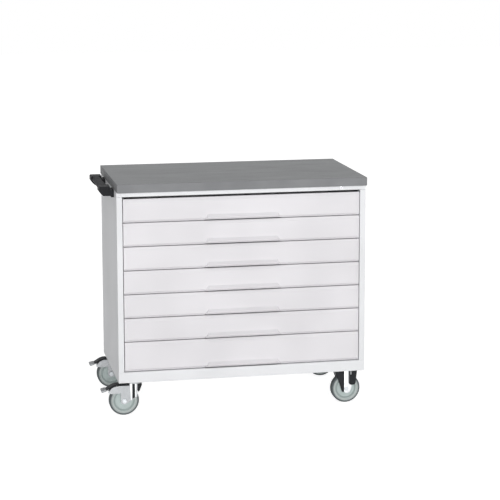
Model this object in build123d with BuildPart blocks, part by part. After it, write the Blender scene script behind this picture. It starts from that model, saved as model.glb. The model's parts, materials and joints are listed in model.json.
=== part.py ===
from build123d import *
from math import cos, hypot, radians, sin
import os

os.makedirs("parts", exist_ok=True)

# Mobile drawer bench. Millimetres. +X runs along the bench, the drawers open towards -Y,
# +Z is up, and the origin is on the floor under the middle of the whole bounding box.

# ------------------------------------------------------------------ driving dimensions
body_width = 1050.0
body_depth = 550.0
small_drawer_pitch = 100.0
small_drawer_count = 6
deep_drawer_pitch = 125.0
plinth_height = 45.0
top_rail_height = 20.0
top_gap = 10.0  # from the top drawer front to the top rail
front_gap = 3.0  # between two drawer fronts
side_gap = 3.0  # from a drawer front to the post beside it
post_width = 24.0
panel_sheet = 1.2
base_sheet = 1.5
back_sheet = 1.0
bend_radius = 2.0
seam = 0.3  # hairline between two panels that meet

worktop_overhang = 25.0  # at the front and at the back
board_thickness = 32.5
surface_thickness = 2.5
edging_thickness = 2.0

front_sheet = 1.0
front_depth = 18.0
lower_bevel_height = 10.0
lower_bevel_depth = 8.0
upper_bevel_height = 13.0
upper_bevel_depth = 6.0
side_bevel_width = 14.0
side_bevel_depth = 2.5
pull_width = 326.0
pull_height = 24.5
pull_depth = 13.0
pull_ledge = 12.0  # height of the slope from the front plane out to the pull's fold
pull_cheek = 4.0  # how far each end slopes in over the pull's depth
pull_slope = 17.0  # how far each end of the pull leans in over its height
pull_lift = 3.5  # lower edge of the pull above the lower edge of the front
pull_tuck = 9.0  # how far that edge is set back from the pull's fold

tray_sheet = 1.0
tray_lift = 6.0  # tray floor above the bottom of the drawer's pitch
tray_headroom = 19.0  # tray rim below the top of the drawer's pitch
runner_thickness = 12.7
runner_height = 45.0
runner_start = 38.0  # behind the cabinet's front plane
runner_room = 22.0  # from the end of the runners to the cabinet's back
runner_lift = 37.0  # runner centre line above the bottom of the drawer's pitch
upright_width = 30.0
upright_start = 40.0
upright_sheet = 1.5

handle_reach = 61.0
handle_start = 80.0  # behind the cabinet's front plane
handle_length = 372.0
bracket_length = 66.0
grip_width = 36.0
grip_height = 26.0
grip_socket = 20.0

wheel_diameter = 125.0
castor_rise = 31.0  # mounting face of a castor above the top of its tyre
wheel_width = 32.0
castor_inset_x = 73.0
castor_inset_y = 48.0
castor_trail = 48.0
pedal_reach = 70.0  # tips of the brake pedals beyond the left side panel
base_rise = 11.0  # underside of the base panel above the skirt's lower edge
plate_length = 105.0
plate_width = 80.0
plate_thickness = 4.0
bolt_spacing_x = 80.0
bolt_spacing_y = 60.0
bolt_radius = 4.0
cheek_thickness = 2.5
cheek_gap = 38.0
axle_radius = 5.0
kingpin_radius = 6.0

lock_inset = 101.0  # lock centre from the cabinet's right side
lock_radius = 8.0
plug_radius = 6.0
lock_length = 22.0
bar_travel = 10.0
bar_depth = 10.0
bar_thickness = 3.0
bar_start = 24.0  # behind the cabinet's front plane

running = 0.05  # radial clearance of a turning fit
loose = 0.3  # clearance round a sliding piece
thread_gap = 0.02  # radial clearance between a nut and its bolt
ball_gap = 0.8  # between two members of a runner

# ------------------------------------------------------------------ what follows from them
shift = pedal_reach / 2  # the pedals stand out on the left, so the cabinet sits to the right
left = shift - body_width / 2
right = shift + body_width / 2
front = -body_depth / 2
back = body_depth / 2
middle = Plane.YZ.offset(shift)
opening_half = body_width / 2 - post_width

wheel_radius = wheel_diameter / 2
castor_height = wheel_diameter + castor_rise
body_bottom = castor_height - base_rise
plinth_top = body_bottom + plinth_height
pitches = [small_drawer_pitch] * small_drawer_count + [deep_drawer_pitch]
stack_top = plinth_top + front_gap / 2 + sum(pitches)
rail_bottom = stack_top - front_gap / 2 + top_gap
body_top = rail_bottom + top_rail_height
pitch_bottoms = [stack_top - sum(pitches[: number + 1]) for number in range(len(pitches))]
worktop_depth = body_depth + 2 * worktop_overhang
runner_length = body_depth - runner_start - runner_room

castor_x = body_width / 2 - castor_inset_x
castor_y = body_depth / 2 - castor_inset_y
castor_spots = [(shift + sx * castor_x, sy * castor_y) for sx in (-1, 1) for sy in (-1, 1)]
lock_x = right - lock_inset
lock_z = rail_bottom + top_rail_height / 2


def across(y):
    """Plane whose sketch axes are the bench's X and Z, at depth y. Extruding goes towards the front."""
    return Plane(origin=(0, y, 0), x_dir=(1, 0, 0), z_dir=(0, -1, 0))


def along(x):
    """Plane whose sketch axes are the bench's Y and Z, at x. Extruding goes to the right."""
    return Plane.YZ.offset(x)


def save(piece, name):
    piece.part.label = name
    export_step(piece.part, f"parts/{name}.step")


def bent_sheet(plane, points, sheet, length, bend=bend_radius):
    """A sheet folded along the given outer line, with its thickness on the line's left."""
    with BuildPart() as fold:
        with BuildSketch(plane):
            with BuildLine():
                FilletPolyline(*points, radius=bend)
                offset(amount=sheet, side=Side.LEFT)
            make_face()
        extrude(amount=length)
    return fold.part


def block(low, high):
    """A plain block between two corners."""
    with BuildPart() as solid:
        with BuildSketch(Plane.XY.offset(low[2])):
            with Locations(((low[0] + high[0]) / 2, (low[1] + high[1]) / 2)):
                Rectangle(high[0] - low[0], high[1] - low[1])
        extrude(amount=high[2] - low[2])
    return solid.part


# ------------------------------------------------------------------ worktop
worktop_screw_x = [shift + part * (body_width / 2 - 60) for part in (-1, -1 / 3, 1 / 3, 1)]
worktop_screw_y = body_depth / 2 - 12
worktop_screws = [(x, sy * worktop_screw_y) for x in worktop_screw_x for sy in (-1, 1)]
screw_radius = 2.5
screw_grip = 20.0

with BuildPart() as worktop_board:
    with BuildSketch(Plane.XY.offset(body_top)):
        with Locations((shift, 0)):
            Rectangle(body_width - 2 * edging_thickness, worktop_depth - 2 * edging_thickness)
    extrude(amount=board_thickness)
    with BuildSketch(Plane.XY.offset(body_top)):
        with Locations(*worktop_screws):
            Circle(screw_radius)
    extrude(amount=screw_grip, mode=Mode.SUBTRACT)
save(worktop_board, "worktop_board")

with BuildPart() as worktop_surface:
    with BuildSketch(Plane.XY.offset(body_top + board_thickness)):
        with Locations((shift, 0)):
            Rectangle(body_width - 2 * edging_thickness, worktop_depth - 2 * edging_thickness)
    extrude(amount=surface_thickness)
save(worktop_surface, "worktop_surface")

with BuildPart() as worktop_edging:
    with BuildSketch(Plane.XY.offset(body_top)):
        with Locations((shift, 0)):
            RectangleRounded(body_width, worktop_depth, radius=edging_thickness)
            Rectangle(
                body_width - 2 * edging_thickness,
                worktop_depth - 2 * edging_thickness,
                mode=Mode.SUBTRACT,
            )
    extrude(amount=board_thickness + surface_thickness)
    rims = worktop_edging.faces().sort_by(Axis.Z)
    outer_rims = [rims[0].outer_wire(), rims[-1].outer_wire()]
    fillet([edge for rim in outer_rims for edge in rim.edges()], radius=edging_thickness / 2)
save(worktop_edging, "worktop_edging")

# ------------------------------------------------------------------ cabinet shell
post_lip = 18.0
rear_lip = 15.0
post_bottom = plinth_top + seam
post_top = rail_bottom - seam
wall_in = right - panel_sheet
post_x = shift + opening_half

back_screw_inset = 8.0
back_screw_count = 5
back_screw_step = (post_top - post_bottom - 100) / (back_screw_count - 1)
back_screw_z = [post_bottom + 50 + row * back_screw_step for row in range(back_screw_count)]

# The side panel folds into the front post and a rear lip. Its wall runs on past both ends of
# the post, beside the plinth and the top rail.
with BuildPart() as side_panel_right:
    side_line = [
        (post_x, front + post_lip),
        (post_x, front),
        (right, front),
        (right, back),
        (right - rear_lip, back),
    ]
    add(bent_sheet(Plane.XY.offset(post_bottom), side_line, panel_sheet, post_top - post_bottom))
    add(block((wall_in, front, body_bottom), (right, back, post_bottom)))
    add(block((wall_in, front, post_top), (right, back, body_top)))
    with BuildSketch(across(back)):
        with Locations(*[(right - back_screw_inset, z) for z in back_screw_z]):
            Circle(screw_radius)
    extrude(amount=panel_sheet, mode=Mode.SUBTRACT)
save(side_panel_right, "side_panel_right")

handle_screw_z = body_top - 14
handle_screw_inset = 16.0
handle_screw_y = [
    front + handle_start + handle_screw_inset,
    front + handle_start + bracket_length - handle_screw_inset,
    front + handle_start + handle_length - bracket_length + handle_screw_inset,
    front + handle_start + handle_length - handle_screw_inset,
]
handle_screw_radius = 3.0
handle_screw_length = 18.0

with BuildPart() as side_panel_left:
    mirror(side_panel_right.part, about=middle)
    with BuildSketch(along(left)):
        with Locations(*[(y, handle_screw_z) for y in handle_screw_y]):
            Circle(handle_screw_radius)
    extrude(amount=panel_sheet, mode=Mode.SUBTRACT)
save(side_panel_left, "side_panel_left")

# The back panel is a shallow tray that lies against the rear lips.
back_face = back - panel_sheet
back_half = body_width / 2 - panel_sheet - seam
with BuildPart() as back_panel:
    back_line = [
        (shift + back_half, back_face - rear_lip),
        (shift + back_half, back_face),
        (shift - back_half, back_face),
        (shift - back_half, back_face - rear_lip),
    ]
    add(bent_sheet(Plane.XY.offset(post_bottom), back_line, back_sheet, body_top - post_bottom))
    with BuildSketch(across(back_face)):
        for x in (left + back_screw_inset, right - back_screw_inset):
            with Locations(*[(x, z) for z in back_screw_z]):
                Circle(screw_radius)
    extrude(amount=back_sheet, mode=Mode.SUBTRACT)
save(back_panel, "back_panel")

# The base is a floor panel between a front plinth and its rear twin.
plinth_return = 20.0
plinth_lip = 5.0
shell_inner = body_width - 2 * panel_sheet
with BuildPart() as base_tray:
    plinth_line = [
        (front + plinth_return, plinth_top),
        (front, plinth_top),
        (front, body_bottom),
        (front + plinth_lip, body_bottom),
    ]
    add(bent_sheet(along(left + panel_sheet), plinth_line, base_sheet, shell_inner))
    mirror(about=Plane.XZ)
    add(
        block(
            (left + panel_sheet, front + base_sheet, castor_height),
            (right - panel_sheet, back - base_sheet, castor_height + base_sheet),
        )
    )
    with BuildSketch(Plane.XY.offset(castor_height)):
        with Locations(*castor_spots):
            with GridLocations(bolt_spacing_x, bolt_spacing_y, 2, 2):
                Circle(bolt_radius + running)
    extrude(amount=base_sheet, mode=Mode.SUBTRACT)
save(base_tray, "base_tray")

rail_upper_return = 22.0
rail_lower_return = 15.0


def top_rail_part(face):
    """Channel under the worktop with its face at the given depth, open towards the inside."""
    rail_line = [
        (face + rail_upper_return, body_top),
        (face, body_top),
        (face, rail_bottom),
        (face + rail_lower_return, rail_bottom),
    ]
    with BuildPart() as rail:
        add(bent_sheet(along(left + panel_sheet), rail_line, panel_sheet, shell_inner))
        with BuildSketch(Plane.XY.offset(body_top)):
            with Locations(*[(x, -worktop_screw_y) for x in worktop_screw_x]):
                Circle(screw_radius)
        extrude(amount=-panel_sheet, mode=Mode.SUBTRACT)
    return rail.part


with BuildPart() as top_rail:
    add(top_rail_part(front))
    with BuildSketch(across(front + panel_sheet)):
        with Locations((lock_x, lock_z)):
            Circle(lock_radius)
    extrude(amount=panel_sheet, mode=Mode.SUBTRACT)
save(top_rail, "top_rail")

# The rear rail stands inside the back panel and is as long as the space between its side folds.
rear_rail_half = back_half - bend_radius - seam
rear_rail_face = back_face - back_sheet
with BuildPart() as rear_top_rail:
    mirror(top_rail_part(-rear_rail_face), about=Plane.XZ)
    for sx in (-1, 1):
        end = shift + sx * (rear_rail_half + body_width / 2)
        add(
            block(
                (end - body_width / 2, rear_rail_face - rail_upper_return, rail_bottom),
                (end + body_width / 2, rear_rail_face, body_top),
            ),
            mode=Mode.SUBTRACT,
        )
save(rear_top_rail, "rear_top_rail")

# ------------------------------------------------------------------ runners
upright_bottom = castor_height + base_sheet
upright_top = stack_top
upright_y = [front + upright_start, front + runner_start + runner_length - upright_start]
runner_back = front + runner_start + runner_length
guide_heights = [pitch_bottoms[-1] + 92, pitch_bottoms[0] + 84]
guide_thickness = 3.0
bar_x = post_x + 3.0
bar_front = front + bar_start


def upright(y):
    """Right-hand channel that carries the runners, with its web on the opening's side."""
    channel = [
        (wall_in, y + upright_width),
        (post_x, y + upright_width),
        (post_x, y),
        (wall_in, y),
    ]
    height = upright_top - upright_bottom
    return bent_sheet(Plane.XY.offset(upright_bottom), channel, upright_sheet, height)


# Two ears on the right front upright guide the locking bar.
with BuildPart() as runner_uprights:
    for y in upright_y:
        add(upright(y))
    mirror(about=middle)
    for z in guide_heights:
        ear_low = (bar_x - 1.6, bar_front - 2, z)
        ear_high = (bar_x + bar_thickness + 3, upright_y[0], z + guide_thickness)
        add(block(ear_low, ear_high))
        slot_low = (bar_x - loose, bar_front - loose, z)
        slot_high = (bar_x + bar_thickness + loose, bar_front + bar_depth + loose, z + guide_thickness)
        add(block(slot_low, slot_high), mode=Mode.SUBTRACT)
save(runner_uprights, "runner_uprights")


def runner_channel(z, web, reach, height, sheet, start, length):
    """Right-hand runner member at height z: a channel from depth web to reach, inwards of the post."""
    flange_end = post_x - reach
    web_face = post_x - web
    low = z - height / 2
    high = z + height / 2
    if reach > web:
        line = [(flange_end, low), (web_face, low), (web_face, high), (flange_end, high)]
    else:
        line = [(flange_end, high), (web_face, high), (web_face, low), (flange_end, low)]
    return bent_sheet(across(start + length), line, sheet, length, bend=sheet * 1.4)


member_sheet = 1.0
cabinet_member_sheet = 1.2
cabinet_member_reach = runner_thickness - 3.7
middle_member_web = cabinet_member_sheet + 1.0
middle_member_reach = runner_thickness - member_sheet - 0.5
middle_member_height = runner_height - 2 * (cabinet_member_sheet + ball_gap)
drawer_member_reach = middle_member_web + member_sheet + 1.8
drawer_member_height = middle_member_height - 2 * (member_sheet + 2 * ball_gap)

with BuildPart() as cabinet_runners:
    for bottom in pitch_bottoms:
        add(
            runner_channel(
                bottom + runner_lift,
                0,
                cabinet_member_reach,
                runner_height,
                cabinet_member_sheet,
                front + runner_start,
                runner_length,
            )
        )
    mirror(about=middle)
save(cabinet_runners, "cabinet_runners")


def middle_runners(number, bottom):
    with BuildPart() as members:
        add(
            runner_channel(
                bottom + runner_lift,
                middle_member_web,
                middle_member_reach,
                middle_member_height,
                member_sheet,
                front + runner_start,
                runner_length,
            )
        )
        mirror(about=middle)
    save(members, f"middle_runners_{number}")


# ------------------------------------------------------------------ drawers
tray_half = opening_half - runner_thickness
tray_start = front + front_depth
tray_length = runner_length
tab_lift = runner_lift + runner_height / 2 + 0.5
tab_height = 6.0
tab_thickness = 3.0
tab_reach = 8.0
lug_reach = 5.0
lug_length = 6.0
lug_lift = tab_lift + tab_height + 2
lug_height = 10.0


def drawer_tray(number, bottom, pitch):
    """Open tray with the drawer member of each runner welded to its side, and a lug for the lock."""
    floor = bottom + tray_lift
    with BuildPart() as tray:
        with BuildSketch(Plane.XY.offset(floor)):
            with Locations((shift, tray_start + tray_length / 2)):
                Rectangle(2 * tray_half, tray_length)
        extrude(amount=pitch - tray_lift - tray_headroom)
        offset(amount=-tray_sheet, openings=tray.faces().sort_by(Axis.Z)[-1])
        member = runner_channel(
            bottom + runner_lift,
            runner_thickness,
            drawer_member_reach,
            drawer_member_height,
            member_sheet,
            tray_start,
            tray_length,
        )
        add(member)
        mirror(member, about=middle)
        lug_front = bar_front + tab_thickness + 2
        lug_z = bottom + lug_lift
        add(
            block(
                (shift + tray_half, lug_front, lug_z),
                (post_x - lug_reach, lug_front + lug_length, lug_z + lug_height),
            )
        )
    save(tray, f"drawer_tray_{number}")


def trapezoid(low_half, high_half, low, high):
    """Outline in X and Z, symmetric about the cabinet's middle."""
    return [
        (shift - low_half, low),
        (shift + low_half, low),
        (shift + high_half, high),
        (shift - high_half, high),
    ]


pull_lean = pull_slope / pull_height  # lean of the pull's ends for each millimetre of height
pull_fold = pull_height - pull_ledge  # height of the pull's fold above the lower edge of the front
fold_slope = pull_tuck / (pull_fold - pull_lift)  # lean of the pull's face for each millimetre of height


def pull_form(low, inset, below, rounding):
    """The pull's bulge: a trapezoid on the front plane, drawn out to a smaller one in front of it.

    Its face is folded back towards the lower edge.
    """
    ledge_inset = inset * hypot(pull_ledge, pull_depth) / pull_depth
    cheek_inset = inset * hypot(pull_cheek, pull_depth) / pull_depth
    base_half = pull_width / 2 - cheek_inset
    face_half = pull_width / 2 - pull_cheek - cheek_inset + inset * pull_cheek / pull_depth
    base_high = pull_height - ledge_inset
    face_high = pull_fold - ledge_inset + inset * pull_ledge / pull_depth
    edge = pull_lift - below
    fold = front - pull_depth + inset * hypot(1, fold_slope)
    with BuildPart() as form:
        with BuildSketch(across(front)):
            with BuildLine():
                Polyline(
                    *trapezoid(
                        base_half - pull_lean * edge,
                        base_half - pull_lean * base_high,
                        low + edge,
                        low + base_high,
                    ),
                    close=True,
                )
            make_face()
        with BuildSketch(across(front - pull_depth + inset)):
            with BuildLine():
                Polyline(
                    *trapezoid(
                        face_half - pull_lean * edge,
                        face_half - pull_lean * face_high,
                        low + edge,
                        low + face_high,
                    ),
                    close=True,
                )
            make_face()
        loft()
        with BuildSketch(along(shift - pull_width)):
            with BuildLine():
                Polyline(
                    (fold - fold_slope, low + pull_fold + 1),
                    (front - 2 * pull_depth, low + pull_fold + 1),
                    (front - 2 * pull_depth, low + edge - 1),
                    (fold + fold_slope * (pull_fold - edge + 1), low + edge - 1),
                    close=True,
                )
            make_face()
        extrude(amount=2 * pull_width, mode=Mode.SUBTRACT)
        face = form.faces().sort_by(Axis.Y)[0]
        fillet(face.edges().sort_by(Axis.Z)[1:], radius=rounding)
    return form.part


def pull_shape(low):
    """The pull as a thin shell, open below and behind."""
    with BuildPart() as pull:
        add(pull_form(low, 0, 0, 2.5))
        add(pull_form(low, front_sheet, 1, 1.5), mode=Mode.SUBTRACT)
    return pull.part


weld_return = 26.0
side_return = 16.0


def drawer_front(number, bottom, pitch):
    """Pan with bevelled edges and returns behind, which are welded to the tray's front wall.

    A pull is pressed out of the middle of its lower edge.
    """
    low = bottom + front_gap / 2
    high = bottom + pitch - front_gap / 2
    half = opening_half - side_gap
    rear = front + front_depth
    with BuildPart() as pan:
        with BuildSketch(along(shift - half)):
            with BuildLine():
                Polyline(
                    (rear, low),
                    (front + lower_bevel_depth, low),
                    (front, low + lower_bevel_height),
                    (front, high - upper_bevel_height),
                    (front + upper_bevel_depth, high),
                    (rear, high),
                    close=True,
                )
            make_face()
        extrude(amount=2 * half)
        with BuildSketch(Plane.XY.offset(low)):
            for sx in (-1, 1):
                edge = shift + sx * half
                with BuildLine():
                    Polyline(
                        (edge, front),
                        (edge - sx * side_bevel_width, front),
                        (edge, front + side_bevel_depth),
                        close=True,
                    )
                make_face()
        extrude(amount=high - low, mode=Mode.SUBTRACT)
        face = pan.faces().sort_by(Axis.Y)[0]
        fillet(face.edges(), radius=3)
        offset(amount=-front_sheet, openings=pan.faces().sort_by(Axis.Y)[-1])
        with BuildSketch(across(rear)):
            with BuildLine():
                Polyline(
                    *trapezoid(
                        pull_width / 2 - front_sheet + pull_lean * front_gap,
                        pull_width / 2 - front_sheet - pull_lean * (pull_height - front_sheet),
                        low - front_gap,
                        low + pull_height - front_sheet,
                    ),
                    close=True,
                )
            make_face()
        extrude(amount=front_depth + pull_depth, mode=Mode.SUBTRACT)
        add(pull_shape(low))
        with BuildSketch(across(rear)):
            with Locations((shift, (low + high) / 2)):
                Rectangle(2 * half, high - low)
                Rectangle(
                    2 * half - 2 * side_return,
                    high - low - 2 * weld_return,
                    mode=Mode.SUBTRACT,
                )
        extrude(amount=front_sheet)
    save(pan, f"drawer_front_{number}")


for number, (bottom, pitch) in enumerate(zip(pitch_bottoms, pitches), start=1):
    drawer_front(number, bottom, pitch)
    drawer_tray(number, bottom, pitch)
    middle_runners(number, bottom)

# ------------------------------------------------------------------ lock
flange_radius = 9.5
flange_thickness = 2.0
plug_proud = 3.5
cam_thickness = 3.0
cam_front = front + lock_length + 2
pin_offset = bar_travel / 2**0.5  # eccentric that lifts the bar by its travel in a quarter turn
pin_radius = 1.5
pin_x = lock_x + pin_offset * 2**-0.5
pin_z = lock_z - pin_offset * 2**-0.5
arm_front = cam_front + cam_thickness + 0.5
arm_thickness = 3.0

with BuildPart() as lock_housing:
    with BuildSketch(across(front + lock_length)):
        with Locations((lock_x, lock_z)):
            Circle(lock_radius)
    extrude(amount=lock_length)
    with BuildSketch(across(front)):
        with Locations((lock_x, lock_z)):
            Circle(flange_radius)
    extrude(amount=flange_thickness)
    fillet(lock_housing.faces().sort_by(Axis.Y)[0].edges(), radius=flange_thickness / 2)
    with BuildSketch(across(front + lock_length)):
        with Locations((lock_x, lock_z)):
            Circle(plug_radius + running)
    extrude(amount=lock_length + flange_thickness, mode=Mode.SUBTRACT)
save(lock_housing, "lock_housing")

with BuildPart() as lock_plug:
    with BuildSketch(across(cam_front)):
        with Locations((lock_x, lock_z)):
            Circle(plug_radius)
    extrude(amount=cam_front - front + plug_proud)
    chamfer(lock_plug.faces().sort_by(Axis.Y)[0].edges(), length=0.6)
    with BuildSketch(across(front - plug_proud + 3)):
        with Locations((lock_x, lock_z)):
            Rectangle(1.8, 8)
    extrude(amount=4, mode=Mode.SUBTRACT)
save(lock_plug, "lock_plug")

with BuildPart() as lock_cam:
    with BuildSketch(across(cam_front + cam_thickness)):
        with Locations((lock_x, lock_z)):
            Circle(6)
        with Locations((pin_x, pin_z)):
            Circle(3)
    extrude(amount=cam_thickness)
    with BuildSketch(across(arm_front + arm_thickness + 1)):
        with Locations((pin_x, pin_z)):
            Circle(pin_radius)
    extrude(amount=arm_front + arm_thickness + 1 - cam_front - cam_thickness)
save(lock_cam, "lock_cam")

# One vertical bar, lifted by the cam. Its tabs then stand in front of the drawers' lugs.
bar_low = upright_bottom + 12
arm_low = rail_bottom + 0.5
arm_high = arm_low + 9.0
slot_half_height = pin_radius + loose
slot_left = lock_x + pin_offset * 2**-0.5 - pin_radius - loose - 1
slot_right = lock_x + pin_offset + pin_radius + loose + 1
with BuildPart() as lock_bar:
    add(
        block(
            (bar_x, bar_front, bar_low),
            (bar_x + bar_thickness, bar_front + bar_depth, arm_high),
        )
    )
    add(
        block(
            (slot_left - 4, arm_front, arm_low),
            (bar_x + bar_thickness, arm_front + arm_thickness, arm_high),
        )
    )
    for bottom in pitch_bottoms:
        add(
            block(
                (post_x - tab_reach, bar_front, bottom + tab_lift),
                (bar_x, bar_front + tab_thickness, bottom + tab_lift + tab_height),
            )
        )
    add(
        block(
            (slot_left, arm_front, pin_z - slot_half_height),
            (slot_right, arm_front + arm_thickness, pin_z + slot_half_height),
        ),
        mode=Mode.SUBTRACT,
    )
save(lock_bar, "lock_bar")

# ------------------------------------------------------------------ push handle
handle_front = front + handle_start
handle_back = handle_front + handle_length
handle_edge = left - handle_reach
grip_centre_x = handle_edge + 5 + grip_width / 2
grip_centre_z = body_top + 1
foot_depth = 31.0
foot_thickness = 11.0
handle_gap = 16.0  # between the worktop's edge and the brackets' upper part
arm_depth = 25.0
handle_rise = 14.0
bracket_profile = [
    (left, body_top),
    (left, body_top - foot_depth),
    (left - foot_thickness, body_top - foot_depth),
    (left - foot_thickness, body_top - arm_depth),
    (handle_edge + 18, body_top - arm_depth),
    (handle_edge, body_top - 7),
    (handle_edge, body_top + handle_rise),
    (left - handle_gap, body_top + handle_rise),
    (left - handle_gap, body_top),
]


def grip_profile(clearance):
    """Rounded section of the grip, grown all round by a clearance."""
    with BuildSketch() as profile:
        with Locations((grip_centre_x, grip_centre_z)):
            RectangleRounded(
                grip_width + 2 * clearance,
                grip_height + 2 * clearance,
                radius=grip_height / 2 - 1 + clearance,
            )
    return profile.sketch


# Two moulded brackets, each a foot on the side panel and an arm with a socket for the grip.
with BuildPart() as handle_brackets:
    for y_back in (handle_front + bracket_length, handle_back):
        with BuildSketch(across(y_back)):
            with BuildLine():
                Polyline(*bracket_profile, close=True)
            make_face()
        extrude(amount=bracket_length)
    long_edges = handle_brackets.edges().filter_by(Axis.Y)
    fillet(long_edges.filter_by_position(Axis.X, handle_edge - 1, handle_edge + 20), radius=5)
    ends = handle_brackets.faces().filter_by(Axis.Y)
    fillet([edge for end in ends for edge in end.edges()], radius=1.2)
    with BuildSketch(across(handle_back - bracket_length + grip_socket)):
        add(grip_profile(running))
    extrude(amount=handle_length - 2 * bracket_length + 2 * grip_socket, mode=Mode.SUBTRACT)
    with BuildSketch(along(left)):
        with Locations(*[(y, handle_screw_z) for y in handle_screw_y]):
            Circle(handle_screw_radius)
    extrude(amount=-handle_screw_length, mode=Mode.SUBTRACT)
save(handle_brackets, "handle_brackets")

with BuildPart() as handle_bar:
    with BuildSketch(across(handle_back - bracket_length + grip_socket)):
        add(grip_profile(0))
    extrude(amount=handle_length - 2 * bracket_length + 2 * grip_socket)
save(handle_bar, "handle_bar")

# ------------------------------------------------------------------ screws of the cabinet
head_height = 2.6


def button_screw(seat, radius, length):
    """Button-head screw. Its head stands on the plane and its shank runs back through it."""
    with BuildPart() as screw:
        with BuildSketch(seat):
            Circle(radius * 1.8)
        extrude(amount=head_height)
        crown = screw.faces().sort_by(Axis(seat.origin, seat.z_dir))[-1]
        fillet(crown.edges(), radius=head_height * 0.6)
        with BuildSketch(seat):
            Circle(radius)
        extrude(amount=-length)
    return screw.part


with BuildPart() as assembly_screws:
    for x, y in worktop_screws:
        under = Plane(origin=(x, y, body_top - panel_sheet), z_dir=(0, 0, -1))
        add(button_screw(under, screw_radius, screw_grip))
    for y in handle_screw_y:
        inside = Plane(origin=(left + panel_sheet, y, handle_screw_z), z_dir=(1, 0, 0))
        add(button_screw(inside, handle_screw_radius, handle_screw_length))
    for x in (left + back_screw_inset, right - back_screw_inset):
        for z in back_screw_z:
            behind = Plane(origin=(x, back, z), z_dir=(0, 1, 0))
            add(button_screw(behind, screw_radius, panel_sheet + back_sheet + 4))
save(assembly_screws, "assembly_screws")

# ------------------------------------------------------------------ castors
plate_bottom = castor_height - plate_thickness
bearing_radius = 33.0
race_bottom = plate_bottom - 5.5
bearing_gap = 0.5
cup_top = race_bottom - bearing_gap
crown_top = cup_top - 7.0
crown_thickness = 3.0
crown_bottom = crown_top - crown_thickness
kingpin_nut_radius = 11.0
kingpin_nut_top = crown_bottom - bearing_gap
kingpin_nut_bottom = kingpin_nut_top - 4.5
cheek_in = cheek_gap / 2
cheek_out = cheek_in + cheek_thickness
axle_z = wheel_radius
boss_radius = 15.0


def over_tread(angle, above):
    """X from the wheel's axis, and Z, of a point above the tread.

    The angle runs from the top of the wheel towards the side it trails to.
    """
    reach = wheel_radius + above
    return (-reach * sin(radians(angle)), axle_z + reach * cos(radians(angle)))


def tread_height(x):
    """Z of the tread at a distance from the wheel's axis."""
    return axle_z + max(wheel_radius**2 - x**2, 0) ** 0.5


pivot_x, pivot_z = over_tread(37.6, 6.3)  # of the brake
pivot_radius = 4.0


def mounting_plate(x, y):
    """Plate with four bolt holes, under the base panel."""
    with BuildPart() as plate:
        with BuildSketch(Plane.XY.offset(plate_bottom)):
            with Locations((x, y)):
                RectangleRounded(plate_length, plate_width, radius=8)
                with GridLocations(bolt_spacing_x, bolt_spacing_y, 2, 2):
                    Circle(bolt_radius + running, mode=Mode.SUBTRACT)
        extrude(amount=plate_thickness)
    return plate.part


swivel_spots = {"front": castor_spots[0], "rear": castor_spots[1]}
fixed_spots = {"front": castor_spots[2], "rear": castor_spots[3]}

with BuildPart() as swivel_plates:
    for x, y in swivel_spots.values():
        add(mounting_plate(x, y))
        with BuildSketch(Plane.XY.offset(race_bottom)):
            with Locations((x, y)):
                Circle(bearing_radius)
        extrude(amount=plate_bottom - race_bottom)
        with BuildSketch(Plane.XY.offset(race_bottom)):
            with Locations((x, y)):
                Circle(kingpin_radius)
        extrude(amount=castor_height - race_bottom, mode=Mode.SUBTRACT)
save(swivel_plates, "swivel_plates")

with BuildPart() as kingpins:
    for x, y in swivel_spots.values():
        with BuildSketch(Plane.XY.offset(kingpin_nut_bottom)):
            with Locations((x, y)):
                RegularPolygon(kingpin_nut_radius, 6)
        extrude(amount=kingpin_nut_top - kingpin_nut_bottom)
        with BuildSketch(Plane.XY.offset(kingpin_nut_top)):
            with Locations((x, y)):
                Circle(kingpin_radius)
        extrude(amount=castor_height - kingpin_nut_top)
save(kingpins, "kingpins")


def both_cheeks(x, y, outline):
    """One flat shape in X and Z with a round boss, cut twice: a cheek on each side of the wheel."""
    with BuildPart() as cheeks:
        for y_back in (y + cheek_out, y - cheek_in):
            with BuildSketch(across(y_back)):
                with BuildLine():
                    Polyline(*[(x + px, pz) for px, pz in outline], close=True)
                make_face()
                with Locations((x, axle_z)):
                    Circle(boss_radius)
            extrude(amount=cheek_thickness)
    return cheeks.part


neck_left = castor_trail - 26.0
neck_right = castor_trail + 7.0
cheek_shelf = wheel_diameter + 2.0
swivel_outline = [
    (neck_left, crown_top),
    (neck_left, cheek_shelf),
    over_tread(17.2, 5),
    over_tread(31.3, 10.6),
    over_tread(42.1, 13.6),
    over_tread(59.5, 15.3),
    over_tread(61.7, 12.4),
    (-0.8 * wheel_radius, axle_z + 0.5 * wheel_radius),
    (-boss_radius, axle_z + 0.53 * wheel_radius),
    (-boss_radius, axle_z),
    (0.67 * boss_radius, axle_z - 0.77 * boss_radius),
    (neck_right, axle_z + 0.25 * wheel_radius),
    (neck_right, crown_top),
]
web_low = tread_height(neck_right - cheek_thickness) + 3.6
web_high = kingpin_nut_bottom - 3.0


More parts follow.
